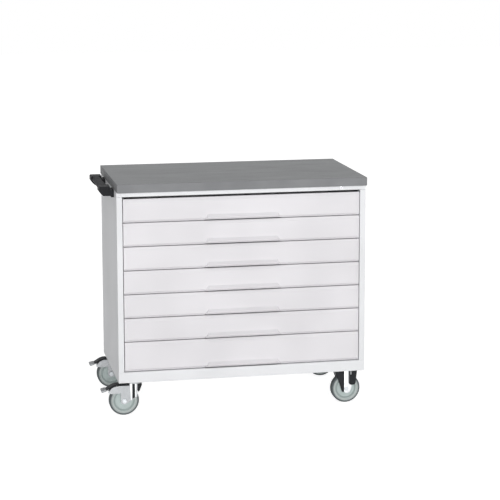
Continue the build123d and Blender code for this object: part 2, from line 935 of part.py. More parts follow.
def swivel_fork(name, x, y):
    """Pressed fork that turns on the kingpin. The wheel trails to the left of it."""
    wheel_x = x - castor_trail
    with BuildPart() as fork:
        add(both_cheeks(wheel_x, y, swivel_outline))
        add(
            block(
                (wheel_x + neck_right - cheek_thickness, y - cheek_out, web_low),
                (wheel_x + neck_right, y + cheek_out, web_high),
            )
        )
        with BuildSketch(Plane.XY.offset(crown_bottom)):
            with Locations((x, y)):
                Circle(bearing_radius)
        extrude(amount=cup_top - crown_bottom)
        with BuildSketch(Plane.XY.offset(crown_top)):
            with Locations((x, y)):
                Circle(bearing_radius - crown_thickness)
        extrude(amount=cup_top - crown_top, mode=Mode.SUBTRACT)
        with BuildSketch(Plane.XY.offset(crown_bottom)):
            with Locations((x, y)):
                Circle(kingpin_radius + running)
        extrude(amount=crown_thickness, mode=Mode.SUBTRACT)
        with BuildSketch(across(y + cheek_out + 1.5)):
            with Locations((wheel_x + pivot_x, pivot_z)):
                Circle(pivot_radius)
        extrude(amount=2 * cheek_out + 3)
        with BuildSketch(across(y + cheek_out)):
            with Locations((wheel_x, axle_z)):
                Circle(axle_radius)
        extrude(amount=2 * cheek_out, mode=Mode.SUBTRACT)
    save(fork, f"swivel_fork_{name}")


lever_half = 17.5
pad_half = 24.0
shoe_half = 12.0
ear_thickness = 3.0
ear_radius = 8.0
lip_radius = 3.0
lip_x = castor_trail + lip_radius - castor_inset_x - pedal_reach
lever_outline = [
    (lip_x, over_tread(62.9, 39.7)[1]),
    over_tread(56.4, 28.7),
    over_tread(36.9, 20.7),
    over_tread(26.9, 17.1),
    over_tread(16.4, 12),
    over_tread(17.3, 8.2),
    over_tread(27.6, 13.1),
    over_tread(37.7, 15.9),
    over_tread(58.1, 24.6),
    over_tread(65.5, 37.5),
]
pad_outline = [lever_outline[place] for place in (0, 1, -2, -1)]
shoe_outline = [
    over_tread(48.2, 19.3),
    over_tread(38.1, 16.9),
    over_tread(48.1, 3.4),
    over_tread(61.2, 6),
]
ear_outline = [
    over_tread(40.2, 18),
    over_tread(26.6, 13.5),
    (pivot_x + ear_radius, pivot_z),
    (pivot_x - ear_radius, pivot_z),
]


def brake_pedal(name, x, y):
    """Foot lever over the wheel, with two ears on the pivot pin and a shoe above the tyre."""
    wheel_x = x - castor_trail
    pivot = (wheel_x + pivot_x, pivot_z)
    lip_z = lever_outline[0][1]
    with BuildPart() as pedal:
        slabs = [
            (lever_outline, lever_half, 2 * lever_half),
            (pad_outline, pad_half, 2 * pad_half),
            (shoe_outline, shoe_half, 2 * shoe_half),
            (ear_outline, lever_half, ear_thickness),
            (ear_outline, ear_thickness - lever_half, ear_thickness),
        ]
        for outline, y_back, thickness in slabs:
            with BuildSketch(across(y + y_back)):
                with BuildLine():
                    Polyline(*[(wheel_x + px, pz) for px, pz in outline], close=True)
                make_face()
            extrude(amount=thickness)
        with BuildSketch(across(y + pad_half)):
            with Locations((wheel_x + lip_x, lip_z - lip_radius + 0.5)):
                Circle(lip_radius)
        extrude(amount=2 * pad_half)
        for y_back in (y + lever_half, y - lever_half + ear_thickness):
            with BuildSketch(across(y_back)):
                with Locations(pivot):
                    Circle(ear_radius)
            extrude(amount=ear_thickness)
        with BuildSketch(across(y + lever_half)):
            with Locations(pivot):
                Circle(pivot_radius + running)
        extrude(amount=2 * lever_half, mode=Mode.SUBTRACT)
    save(pedal, f"brake_pedal_{name}")


def castor_guard(name, x, y):
    """Black plastic trim: a cap along the cheeks' shelf and a toe in front of the neck."""
    wheel_x = x - castor_trail
    toe = [
        (neck_right, web_high + 2),
        (neck_right + 21, web_high + 2),
        (neck_right + 11, web_low + 4),
        (neck_right + 6, web_low - 3),
        (neck_right + 3, web_low - 1),
        (neck_right, web_low + 6),
    ]
    with BuildPart() as guard:
        add(
            block(
                (wheel_x + neck_left - 40.5, y - cheek_out - 1, cheek_shelf),
                (wheel_x + neck_left - loose, y + cheek_out + 1, cheek_shelf + 6),
            )
        )
        with BuildSketch(across(y + cheek_in - 2)):
            with BuildLine():
                Polyline(*[(wheel_x + px, pz) for px, pz in toe], close=True)
            make_face()
        extrude(amount=2 * cheek_in - 4)
        fillet(guard.edges().filter_by(Axis.Y), radius=1.0)
    save(guard, f"castor_guard_{name}")


def axle_bolt(x, y):
    """Hexagon bolt through both cheeks, with its nut."""
    head = 6.4
    nut = 8.0
    hexagon = 9.8
    with BuildPart() as bolt:
        with BuildSketch(across(y - cheek_out)):
            with Locations((x, axle_z)):
                RegularPolygon(hexagon, 6)
        extrude(amount=head)
        with BuildSketch(across(y + cheek_out + nut + 2)):
            with Locations((x, axle_z)):
                Circle(axle_radius)
        extrude(amount=2 * cheek_out + nut + 2)
        with BuildSketch(across(y + cheek_out + nut)):
            with Locations((x, axle_z)):
                RegularPolygon(hexagon, 6)
                Circle(axle_radius + thread_gap, mode=Mode.SUBTRACT)
        extrude(amount=nut)
    return bolt.part


hub_radius = 14.0
hub_half = cheek_in - 0.5
disc_half = 10.0
rim_outer = wheel_radius - 16.5
rim_inner = rim_outer - 6.0
rim_half = wheel_width / 2 - 3.0
shoulder = 5.0


def wheel(name, x, y):
    """Plastic wheel with a rubber tyre, on the axle at x and y."""
    centre = Plane(origin=(x, y, axle_z), x_dir=(1, 0, 0), z_dir=(0, 0, 1))
    turn = Axis((x, y, axle_z), (0, 1, 0))
    with BuildPart() as core:
        with BuildSketch(centre):
            with BuildLine():
                Polyline(
                    (axle_radius + running, -hub_half),
                    (hub_radius, -hub_half),
                    (hub_radius + 3, -disc_half),
                    (rim_inner - 3, -disc_half),
                    (rim_inner, -rim_half),
                    (rim_outer, -rim_half),
                    (rim_outer, rim_half),
                    (rim_inner, rim_half),
                    (rim_inner - 3, disc_half),
                    (hub_radius + 3, disc_half),
                    (hub_radius, hub_half),
                    (axle_radius + running, hub_half),
                    close=True,
                )
            make_face()
        revolve(axis=turn)
    save(core, f"wheel_core_{name}")
    with BuildPart() as tyre:
        with BuildSketch(centre):
            with BuildLine():
                side = wheel_width / 2
                Polyline(
                    (rim_outer, -rim_half),
                    (rim_outer + 3, -rim_half),
                    (rim_outer + 6, -side),
                    (wheel_radius - shoulder, -side),
                    (wheel_radius, -side + shoulder),
                    (wheel_radius, side - shoulder),
                    (wheel_radius - shoulder, side),
                    (rim_outer + 6, side),
                    (rim_outer + 3, rim_half),
                    (rim_outer, rim_half),
                    close=True,
                )
            make_face()
        revolve(axis=turn)
        corners = tyre.edges().filter_by(GeomType.CIRCLE).sort_by(SortBy.LENGTH)[-4:]
        fillet(corners, radius=shoulder / 2)
    save(tyre, f"tyre_{name}")


for name, (x, y) in swivel_spots.items():
    swivel_fork(name, x, y)
    brake_pedal(name, x, y)
    castor_guard(name, x, y)
    with BuildPart() as swivel_axle:
        add(axle_bolt(x - castor_trail, y))
    save(swivel_axle, f"swivel_axle_{name}")
    wheel(f"swivel_{name}", x - castor_trail, y)

fixed_shoulder = 46.0
fixed_outline = [
    (-fixed_shoulder - 2, plate_bottom + 1),
    (-fixed_shoulder, plate_bottom - 20),
    (-boss_radius * 0.96, axle_z - 4),
    (boss_radius * 0.96, axle_z - 4),
    (fixed_shoulder, plate_bottom - 20),
    (fixed_shoulder + 2, plate_bottom + 1),
]
rib_half = 8.0
rib_low = axle_z + boss_radius - 3
rib_high = plate_bottom - 2
rib_outline = [(-rib_half, rib_low), (rib_half, rib_low), (rib_half, rib_high), (-rib_half, rib_high)]
rib_thickness = 2.0

with BuildPart() as fixed_forks:
    for x, y in fixed_spots.values():
        add(mounting_plate(x, y))
        add(both_cheeks(x, y, fixed_outline))
        for y_back in (y + cheek_out + rib_thickness, y - cheek_out):
            with BuildSketch(across(y_back)):
                with BuildLine():
                    Polyline(*[(x + px, pz) for px, pz in rib_outline], close=True)
                make_face()
            extrude(amount=rib_thickness)
        with BuildSketch(across(y + cheek_out)):
            with Locations((x, axle_z)):
                Circle(axle_radius)
        extrude(amount=2 * cheek_out, mode=Mode.SUBTRACT)
save(fixed_forks, "fixed_forks")

with BuildPart() as fixed_axles:
    for x, y in fixed_spots.values():
        add(axle_bolt(x, y))
save(fixed_axles, "fixed_axles")

for name, (x, y) in fixed_spots.items():
    wheel(f"fixed_{name}", x, y)

# Each plate is held by four bolts from below, with nuts on the base panel.
bolt_head = 5.3
bolt_nut = 6.5
bolt_hexagon = 7.4
with BuildPart() as castor_bolts:
    for x, y in castor_spots:
        for sx, sy in ((-1, -1), (-1, 1), (1, -1), (1, 1)):
            spot = (x + sx * bolt_spacing_x / 2, y + sy * bolt_spacing_y / 2)
            with BuildSketch(Plane.XY.offset(plate_bottom - bolt_head)):
                with Locations(spot):
                    RegularPolygon(bolt_hexagon, 6)
            extrude(amount=bolt_head)
            with BuildSketch(Plane.XY.offset(plate_bottom)):
                with Locations(spot):
                    Circle(bolt_radius)
            extrude(amount=plate_thickness + base_sheet + bolt_nut + 1.5)
            with BuildSketch(Plane.XY.offset(castor_height + base_sheet)):
                with Locations(spot):
                    RegularPolygon(bolt_hexagon, 6)
                    Circle(bolt_radius + thread_gap, mode=Mode.SUBTRACT)
            extrude(amount=bolt_nut)
save(castor_bolts, "castor_bolts")
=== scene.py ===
# %% [markdown]
# # A drawer bench on castors, dressed for its picture
#
# The sizes and the places of every part were settled first, in a CAD model. This lesson loads
# that model as a fixed frame, gives each part a finish that looks like the real material, and
# adds the small things that CAD left out. Everything is in metres, and the bench stands on the
# floor at z = 0 with its drawers opening towards -Y.

# %% The frame and its parts
import bmesh
import bpy
import json
from math import cos, pi, radians, sin
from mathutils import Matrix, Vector


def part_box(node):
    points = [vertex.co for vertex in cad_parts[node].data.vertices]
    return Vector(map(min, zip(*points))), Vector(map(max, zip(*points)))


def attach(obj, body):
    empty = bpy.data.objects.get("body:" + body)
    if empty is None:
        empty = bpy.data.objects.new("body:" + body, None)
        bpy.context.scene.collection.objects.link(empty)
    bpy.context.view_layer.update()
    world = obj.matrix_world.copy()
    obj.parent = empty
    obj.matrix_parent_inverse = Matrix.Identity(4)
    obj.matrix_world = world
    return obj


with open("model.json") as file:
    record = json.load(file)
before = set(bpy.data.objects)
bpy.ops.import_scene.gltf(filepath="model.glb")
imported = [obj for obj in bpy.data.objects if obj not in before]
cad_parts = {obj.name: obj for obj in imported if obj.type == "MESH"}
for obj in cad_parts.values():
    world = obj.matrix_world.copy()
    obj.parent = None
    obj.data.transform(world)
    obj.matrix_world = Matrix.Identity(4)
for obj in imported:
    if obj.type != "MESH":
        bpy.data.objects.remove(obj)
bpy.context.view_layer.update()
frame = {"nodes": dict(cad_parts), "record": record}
nodes = frame["nodes"]
openings = {entry["name"]: entry["box_m"] for entry in frame["record"]["physics"]["openings"]}
drawer_numbers = sorted(int(name.rsplit("_", 1)[1]) for name in nodes if name.startswith("drawer_tray_"))
sides = ("front", "rear")

# %% [markdown]
# ## Two helpers for materials
#
# Paint cards and screens name colours in sRGB, but the renderer adds up light, so it needs
# linear numbers. One function does that conversion. A second one adds a shader node, sets its
# sockets and links them, which keeps each recipe below short enough to read in one go.

# %% Colours and nodes
def colour(code):
    """sRGB hex text to a linear colour with full opacity."""
    parts = [int(code[place:place + 2], 16) / 255 for place in (0, 2, 4)]
    return [p / 12.92 if p <= 0.04045 else ((p + 0.055) / 1.055) ** 2.4 for p in parts] + [1.0]


def add(tree, kind, sockets=None, **settings):
    """Add a node. A socket's value is a number, a colour, or another node's output to link."""
    node = tree.nodes.new(kind)
    for name, value in settings.items():
        setattr(node, name, value)
    for name, value in (sockets or {}).items():
        if isinstance(value, bpy.types.NodeSocket):
            tree.links.new(value, node.inputs[name])
        else:
            node.inputs[name].default_value = value
    return node


def per_mm(size):
    """The Scale that makes a texture's features about this many millimetres across."""
    return 1000.0 / size


def new_finish(name, **shader_values):
    """A material with one Principled shader. Returns it, its tree, the shader and Object coordinates."""
    material = bpy.data.materials.new(name)
    material.use_nodes = True
    tree = material.node_tree
    tree.nodes.clear()
    sockets = {key.replace("_", " "): value for key, value in shader_values.items()}
    shader = add(tree, "ShaderNodeBsdfPrincipled", sockets)
    add(tree, "ShaderNodeOutputMaterial", {"Surface": shader.outputs["BSDF"]})
    where = add(tree, "ShaderNodeTexCoord").outputs["Object"]
    return material, tree, shader, where


def blend_colours(tree, factor, low, high):
    """Colour that runs from low to high as the factor goes from 0 to 1."""
    mix = add(tree, "ShaderNodeMix", {0: factor, 6: low, 7: high}, data_type="RGBA")
    return mix.outputs[2]


def spread(tree, value, low, high, start=0.0, end=1.0):
    """A number brought from the span start..end to the span low..high, and kept inside it."""
    sockets = {"Value": value, "From Min": start, "From Max": end, "To Min": low, "To Max": high}
    return add(tree, "ShaderNodeMapRange", sockets).outputs["Result"]


def noise(tree, where, size, detail=2.0, stretch=None):
    """Cloudy pattern with features of a size in millimetres, drawn out along X, Y or Z by a stretch."""
    if stretch:
        squeeze = [1 / share for share in stretch]
        where = add(tree, "ShaderNodeMapping", {"Vector": where, "Scale": squeeze}).outputs["Vector"]
    sockets = {"Vector": where, "Scale": per_mm(size), "Detail": detail}
    return add(tree, "ShaderNodeTexNoise", sockets).outputs["Fac"]


def bump(tree, height, depth, below=None):
    """Surface relief of a depth in millimetres, laid over another relief if one is given."""
    sockets = {"Height": height, "Distance": depth / 1000, "Strength": 1.0}
    if below:
        sockets["Normal"] = below
    return add(tree, "ShaderNodeBump", sockets).outputs["Normal"]


def join(tree, shader, **sources):
    """Link outputs to the shader's sockets."""
    for name, source in sources.items():
        tree.links.new(source, shader.inputs[name.replace("_", " ")])


print("helpers for colours and nodes are ready")

# %% [markdown]
# ## Powder-coated sheet steel
#
# The body and the drawer fronts are folded from thin steel and powder coated. The powder melts
# into a hard skin with a very fine orange peel: low, soft waves a millimetre or two across. It
# shows as a slightly uneven gloss, not as colour. The real waves are too fine to show at this
# distance, so they are drawn a little coarser. The fronts have a trace more violet than the
# frame, which is a cooler white.

# %% Powder coat
def powder_coat(name, code, gloss):
    material, tree, shader, where = new_finish(name, Roughness=gloss, Specular_IOR_Level=0.3)
    drift = noise(tree, where, 260, 1.0)
    paler = [min(1.0, channel * 1.03) for channel in colour(code)]
    deeper = [channel * 0.965 for channel in colour(code)[:3]] + [1.0]
    peel = noise(tree, where, 3.0, 3.0)
    waves = noise(tree, where, 38, 1.0)
    relief = bump(tree, waves, 0.05, bump(tree, peel, 0.06))
    join(
        tree, shader,
        Base_Color=blend_colours(tree, spread(tree, drift, 0, 1, 0.35, 0.65), deeper, paler),
        Roughness=spread(tree, peel, gloss - 0.06, gloss + 0.08, 0.35, 0.65),
        Normal=relief,
    )
    return material


frame_paint = powder_coat("powder_coated_steel_light_grey", "eeeff1", 0.52)
front_paint = powder_coat("powder_coated_steel_drawer_front", "e9e7ea", 0.5)
tray_paint = powder_coat("powder_coated_steel_drawer_tray", "d6d7da", 0.55)
print("powder coats:", frame_paint.name, front_paint.name, tray_paint.name)

# %% [markdown]
# ## The worktop
#
# The top is a board faced with a grey laminate, which is printed paper pressed in resin. Its
# print is a soft, streaky mottle that runs along the bench, and its surface is a fine pearl
# texture that spreads the light. The edge band is ABS plastic in the same grey. Underneath, the
# board carries a thin backing sheet, which keeps it from bowing: smooth pale resin with the faint
# lines of the press plate.

# %% Laminate, edge band and backing
def laminate():
    material, tree, shader, where = new_finish(
        "high_pressure_laminate_grey", Roughness=0.55, Specular_IOR_Level=0.35
    )
    streaks = noise(tree, where, 26, 3.0, stretch=(6, 1, 1))
    clouds = noise(tree, where, 120, 2.0, stretch=(2, 1, 1))
    specks = noise(tree, where, 3.2, 2.0)
    print_tone = add(tree, "ShaderNodeMath", {0: streaks, 1: clouds}, operation="ADD").outputs[0]
    tone = spread(tree, print_tone, 0, 1, 0.72, 1.28)
    base = blend_colours(tree, tone, colour("828486"), colour("929496"))
    speckled = blend_colours(tree, spread(tree, specks, 0, 0.35, 0.45, 0.75), base, colour("7a7c7e"))
    join(
        tree, shader,
        Base_Color=speckled,
        Roughness=spread(tree, specks, 0.44, 0.58, 0.3, 0.7),
        Normal=bump(tree, specks, 0.08),
    )
    return material


def edge_band():
    material, tree, shader, where = new_finish(
        "abs_edge_band_grey", Roughness=0.6, Specular_IOR_Level=0.12
    )
    pull_lines = noise(tree, where, 2.5, 2.0, stretch=(30, 30, 1))
    drift = noise(tree, where, 90, 1.0)
    tone = spread(tree, drift, 0, 1, 0.3, 0.7)
    join(
        tree, shader,
        Base_Color=blend_colours(tree, tone, colour("868789"), colour("8e8f91")),
        Roughness=spread(tree, pull_lines, 0.52, 0.68, 0.3, 0.7),
        Normal=bump(tree, pull_lines, 0.03),
    )
    return material


def backing_sheet():
    material, tree, shader, where = new_finish("melamine_backing_sheet", Roughness=0.5)
    press_lines = noise(tree, where, 1.8, 2.0, stretch=(40, 1, 1))
    drift = noise(tree, where, 160, 1.0)
    tone = spread(tree, drift, 0, 1, 0.3, 0.7)
    join(
        tree, shader,
        Base_Color=blend_colours(tree, tone, colour("bcbdc1"), colour("c6c7ca")),
        Roughness=spread(tree, press_lines, 0.42, 0.6, 0.3, 0.7),
        Normal=bump(tree, press_lines, 0.02),
    )
    return material


laminate_grey = laminate()
edge_grey = edge_band()
backing = backing_sheet()
print("worktop:", laminate_grey.name, edge_grey.name, backing.name)

# %% [markdown]
# ## Zinc, chrome and rolled steel
#
# Castor forks, plates, bolts and runners are steel with a thin coat of zinc. Fresh zinc is a
# pale, slightly blue metal with soft clouds where the plating is thicker, and it keeps the
# faint lines of the rolled sheet. The lock's face is chromed, so it is almost a mirror. A
# metal's colour is the colour of its reflection, so these stay light. The ribs on the castor
# forks are the same zinc made much lighter: a painted highlight. The pedal caps are a darker
# zinc, and the dark hexagons in the screw heads are painted shade, standing in for the
# shadow inside the sockets.

# %% Metals
def zinc_steel(name, light, dark, roughness, grain):
    material, tree, shader, where = new_finish(name, Metallic=1.0, Roughness=roughness)
    clouds = noise(tree, where, 22, 3.0)
    lines = noise(tree, where, 0.8, 2.0, stretch=grain)
    tone = spread(tree, clouds, 0, 1, 0.3, 0.7)
    join(
        tree, shader,
        Base_Color=blend_colours(tree, tone, colour(dark), colour(light)),
        Roughness=spread(tree, lines, roughness - 0.08, roughness + 0.12, 0.3, 0.7),
        Normal=bump(tree, lines, 0.02),
    )
    return material


def chrome():
    material, tree, shader, where = new_finish("chromed_lock_face", Metallic=1.0, Roughness=0.12)
    haze = noise(tree, where, 4, 2.0)
    join(
        tree, shader,
        Base_Color=blend_colours(tree, haze, colour("d4d5d8"), colour("f0f0f2")),
        Roughness=spread(tree, haze, 0.06, 0.2, 0.3, 0.7),
        Normal=bump(tree, haze, 0.01),
    )
    return material


zinc_fork = zinc_steel("zinc_plated_pressed_steel", "a3a5a7", "97999b", 0.5, (1, 1, 12))
# The ribs are the fork's own zinc made much lighter: a painted highlight along each rib.
zinc_rib_painted_highlight = zinc_steel("zinc_plated_rib_painted_highlight", "e2e4e6", "d2d4d6", 0.38, (1, 1, 12))
pedal_steel = zinc_steel("zinc_plated_pedal_steel", "8f9193", "828486", 0.5, (1, 1, 1))
zinc_bolt = zinc_steel("zinc_plated_bolt_steel", "c9cccf", "a9adb1", 0.34, (1, 1, 1))
zinc_runner = zinc_steel("zinc_plated_runner_steel", "c6c9cc", "aeb2b6", 0.32, (1, 40, 1))
zinc_upright = zinc_steel("galvanised_upright_steel", "b9bdc0", "9da2a6", 0.45, (1, 1, 30))
# Near-black steel for the sockets: painted shade standing in for the hollow of each hexagon socket.
socket_shade_paint = zinc_steel("painted_shade_socket_dark", "5a5c5f", "47494c", 0.5, (1, 1, 1))
lock_chrome = chrome()
metals = (
    zinc_fork, zinc_rib_painted_highlight, pedal_steel, zinc_bolt, zinc_runner, zinc_upright, socket_shade_paint, lock_chrome,
)
print("metals:", *(metal.name for metal in metals))

# %% [markdown]
# ## Plastics and rubber
#
# The push handle's brackets are black glass-filled nylon, its bar has a soft-touch grip, and the
# castor trims are plain polyamide. All are moulded in a tool with a spark-eroded texture: tiny
# even pits that break up the highlight. The wheels are a pale grey-green polypropylene with a
# soft sheen and a darker ring of painted shade, where the rim's recess falls in shadow. The tyre
# is grey rubber moulded onto the wheel: its outer band is darker, which is painted shade where
# the tread turns away from the light, and its sidewall carries a paler ring. Those rings are
# drawn from the distance to the axle, so the two materials are made once for each wheel,
# centred on its axle.

# %% Moulded plastics
def moulded_plastic(name, light, dark, roughness, pit, depth):
    material, tree, shader, where = new_finish(name, Roughness=roughness, Specular_IOR_Level=0.2)
    pits = add(tree, "ShaderNodeTexVoronoi", {"Vector": where, "Scale": per_mm(pit)}).outputs["Distance"]
    flow = noise(tree, where, 30, 2.0)
    join(
        tree, shader,
        Base_Color=blend_colours(tree, spread(tree, flow, 0, 1, 0.3, 0.7), colour(dark), colour(light)),
        Roughness=spread(tree, flow, roughness - 0.05, roughness + 0.07, 0.3, 0.7),
        Normal=bump(tree, pits, depth),
    )
    return material


nylon_black = moulded_plastic("glass_filled_nylon_black", "1d1e21", "151619", 0.65, 1.6, 0.12)
grip_black = moulded_plastic("soft_touch_grip_black", "1f2023", "17181b", 0.7, 1.2, 0.08)
trim_black = moulded_plastic("polyamide_trim_black", "232528", "1a1b1e", 0.6, 1.6, 0.1)


def by_distance(tree, where, axle, stops):
    """Colour that depends on the distance from the axle, from stops of radius in mm and colour."""
    near, far = stops[0][0], stops[-1][0]
    centred = add(tree, "ShaderNodeMapping", {"Vector": where, "Location": -axle}).outputs[0]
    flat = add(tree, "ShaderNodeVectorMath", {0: centred, 1: (1, 0, 1)}, operation="MULTIPLY").outputs[0]
    radius = add(tree, "ShaderNodeVectorMath", {0: flat}, operation="LENGTH").outputs["Value"]
    bands = add(tree, "ShaderNodeValToRGB", {"Fac": spread(tree, radius, 0, 1, near / 1000, far / 1000)})
    ramp = bands.color_ramp
    for place, (distance, code) in enumerate(stops):
        position = (distance - near) / (far - near)
        stop = ramp.elements[place] if place < 2 else ramp.elements.new(position)
        stop.position = position
        stop.color = colour(code)
    return bands.outputs["Color"]


def wheel_plastic(name, axle):
    """Pale grey-green polypropylene: an even disc, a darker ring of painted shade at the rim's recess,
    and a paler rim.
    """
    material, tree, shader, where = new_finish(name, Roughness=0.5)
    # The dark stops from 40 to 44 mm are painted shade, where the recess inside the rim lies in shadow.
    stops = ((30, "bbc7c5"), (38.5, "b7c2c0"), (40, "8d9997"), (44, "98a4a2"), (46, "b3bdbb"))
    rings = by_distance(tree, where, axle, stops)
    flow = noise(tree, where, 18, 2.0)
    pits = add(tree, "ShaderNodeTexVoronoi", {"Vector": where, "Scale": per_mm(2.0)}).outputs["Distance"]
    join(
        tree, shader,
        Base_Color=blend_colours(tree, spread(tree, flow, 0, 0.25, 0.35, 0.7), rings, colour("a6b2b0")),
        Roughness=spread(tree, flow, 0.44, 0.58, 0.3, 0.7),
        Normal=bump(tree, pits, 0.04),
    )
    return material


def tyre_rubber(name, axle):
    """Grey rubber with a pale ring round the sidewall and a dark outer band of painted shade."""
    material, tree, shader, where = new_finish(name, Roughness=0.7)
    pale_ring = ((46, "b0b9b8"), (48, "c2c9c7"), (53, "b6bdbb"))
    # The stops from 55 mm outwards darken towards the edge: painted shade where the tread turns away
    # from the light.
    tread_painted_shade = ((55, "6b7375"), (57, "565d5f"), (63, "4a5052"))
    rings = by_distance(tree, where, axle, pale_ring + tread_painted_shade)
    scuffs = noise(tree, where, 5, 3.0)
    wear = spread(tree, scuffs, 0, 0.25, 0.45, 0.8)
    join(
        tree, shader,
        Base_Color=blend_colours(tree, wear, rings, colour("8e9391")),
        Roughness=spread(tree, scuffs, 0.6, 0.82, 0.3, 0.7),
        Normal=bump(tree, scuffs, 0.08),
    )
    return material


print("plastics:", nylon_black.name, grip_black.name, trim_black.name)

# %% [markdown]
# ## Dressing the CAD parts
#
# Each part that came from CAD keeps its shape and gets the finish of its real material. Parts
# are named for what they are, so a small table of names and finishes does the whole bench.

# %% Finishes onto parts
finish_of = {
    "worktop_board": backing,
    "worktop_surface": laminate_grey,
    "worktop_edging": edge_grey,
    "runner_uprights": zinc_upright,
    "cabinet_runners": zinc_runner,
    "handle_bar": grip_black,
    "handle_brackets": nylon_black,
    "lock_housing": lock_chrome,
    "lock_plug": lock_chrome,
    "lock_cam": zinc_bolt,
    "lock_bar": zinc_upright,
    "assembly_screws": zinc_bolt,
    "castor_bolts": zinc_bolt,
    "swivel_plates": zinc_fork,
    "kingpins": zinc_bolt,
    "fixed_forks": zinc_fork,
    "fixed_axles": zinc_bolt,
}
finish_by_start = {
    "side_panel": frame_paint,
    "back_panel": frame_paint,
    "base_tray": frame_paint,
    "top_rail": frame_paint,
    "rear_top_rail": frame_paint,
    "drawer_front": front_paint,
    "drawer_tray": tray_paint,
    "middle_runners": zinc_runner,
    "swivel_fork": zinc_fork,
    "swivel_axle": zinc_bolt,
    "brake_pedal": trim_black,
    "castor_guard": trim_black,
}


def centre_of(name):
    """Middle of a CAD part's box."""
    low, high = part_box(name)
    return (low + high) / 2


def put_finish(piece, material):
    piece.data.materials.clear()
    piece.data.materials.append(material)


for name, part in nodes.items():
    if name.startswith("tyre_"):
        put_finish(part, tyre_rubber(f"rubber_{name}", centre_of(name)))
    elif name.startswith("wheel_core_"):
        put_finish(part, wheel_plastic(f"polypropylene_{name}", centre_of(name)))
    else:
        starts = [material for start, material in finish_by_start.items() if name.startswith(start)]
        put_finish(part, finish_of[name] if name in finish_of else starts[0])
print(f"dressed {len(nodes)} parts")

# %% [markdown]
# ## How a small piece is made
#
# Most of the small pieces are flat shapes with some thickness: a guard, a rib, a moulded face.
# Each starts as an outline, which is filled, thickened along the bench's depth, and then gets
# its edges rounded with a bevel, because a real pressed or moulded edge is never sharp and the
# thin bright line along it is what the eye reads. All lengths below are in millimetres.

# %% Outline to solid
MM = 0.001


def finished(name, shape, material, body, smooth=True):
    """Turn a bmesh into a piece of the bench that rides on a body."""
    bmesh.ops.recalc_face_normals(shape, faces=shape.faces)
    mesh = bpy.data.meshes.new(name)
    shape.to_mesh(mesh)
    shape.free()
    mesh.polygons.foreach_set("use_smooth", [smooth] * len(mesh.polygons))
    if smooth:
        mesh.set_sharp_from_angle(angle=radians(40))
    mesh.materials.append(material)
    piece = bpy.data.objects.new(name, mesh)
    bpy.context.scene.collection.objects.link(piece)
    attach(piece, body)
    return piece


def add_plate(shape, outline, near, far, rounding):
    """Add an outline of points in X and Z, in metres, with a thickness from y = near to y = far."""
    bottom = [shape.verts.new((x, near, z)) for x, z in outline]
    face = shape.faces.new(bottom)
    grown = bmesh.ops.extrude_face_region(shape, geom=[face])
    top = [item for item in grown["geom"] if isinstance(item, bmesh.types.BMVert)]
    for corner in top:
        corner.co.y = far
    edges = {edge for corner in bottom + top for edge in corner.link_edges}
    bmesh.ops.bevel(
        shape, geom=list(edges), offset=rounding, segments=3, profile=0.6,
        affect="EDGES", clamp_overlap=True,
    )


def about(centre, outline):
    """Outline in millimetres from a centre to metres in the bench's frame."""
    return [(centre.x + x * MM, centre.z + z * MM) for x, z in outline]


print("plates can be made from outlines")

# %% [markdown]
# ## The castor forks' ribs, with plates and a strip of painted shade
#
# A castor fork is pressed from sheet steel, and a rib runs down the middle of each cheek to
# stiffen it; the ribs are drawn in a much lighter zinc, a painted highlight. On the fixed
# castors two black nylon plates flank that rib: they are painted shade, laid where the fork's
# flanks show only dark reflection and shade. On the swivel castors the neck of the fork
# carries two narrow ribs with a black strip between them, painted shade where the web between
# the cheeks lies in shadow. The cheeks stand a little outside the wheel's hub, so every
# position follows from the wheel's own box.

# %% Ribs and plates of painted shade
hub_to_cheek = 3.0 * MM  # from the hub's end to the outer face of the fork's cheek
wheels = {name[len("wheel_core_"):]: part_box(name) for name in nodes if name.startswith("wheel_core_")}

fixed_rib = [
    (-9, 88), (9, 88), (9.5, 26), (15, 18), (24, 15),
    (21, -4), (15, -16), (4, -20), (-6, -18), (-9.5, -10),
]
left_shade_plate = [(-47.5, 88), (-9.5, 88), (-9.8, -13), (-14, -15.5), (-18.5, -12), (-28, 20), (-46.5, 66)]
right_shade_plate = [
    (13, 88), (18.5, 88), (18.5, 60), (23.5, 60), (23.5, 88), (49.5, 88),
    (46, 62), (42, 24), (37, 15.5), (20, 15), (13, 21),
]
neck_ribs = (
    [(25.6, 77), (25.6, 1), (33.4, 5.5), (33.4, 77)],
    [(44.6, 77), (44.6, 12), (50.8, 15.5), (50.8, 77)],
)
# The black strip between the neck ribs is painted shade, laid where the web between the fork's cheeks
# lies in shadow.
neck_painted_shade = [(33.2, 77), (33.2, 6.5), (44.8, 13), (44.8, 77)]


def both_sides(shape, low, high, outline, rise, rounding):
    """The same plate on the outer face of each cheek, sunk a little into it. Sizes in millimetres."""
    sink = 0.4
    centre = (low + high) / 2
    for face, out in ((low.y - hub_to_cheek, -1), (high.y + hub_to_cheek, 1)):
        near, far = face - out * sink * MM, face + out * rise * MM
        add_plate(shape, about(centre, outline), near, far, rounding * MM)


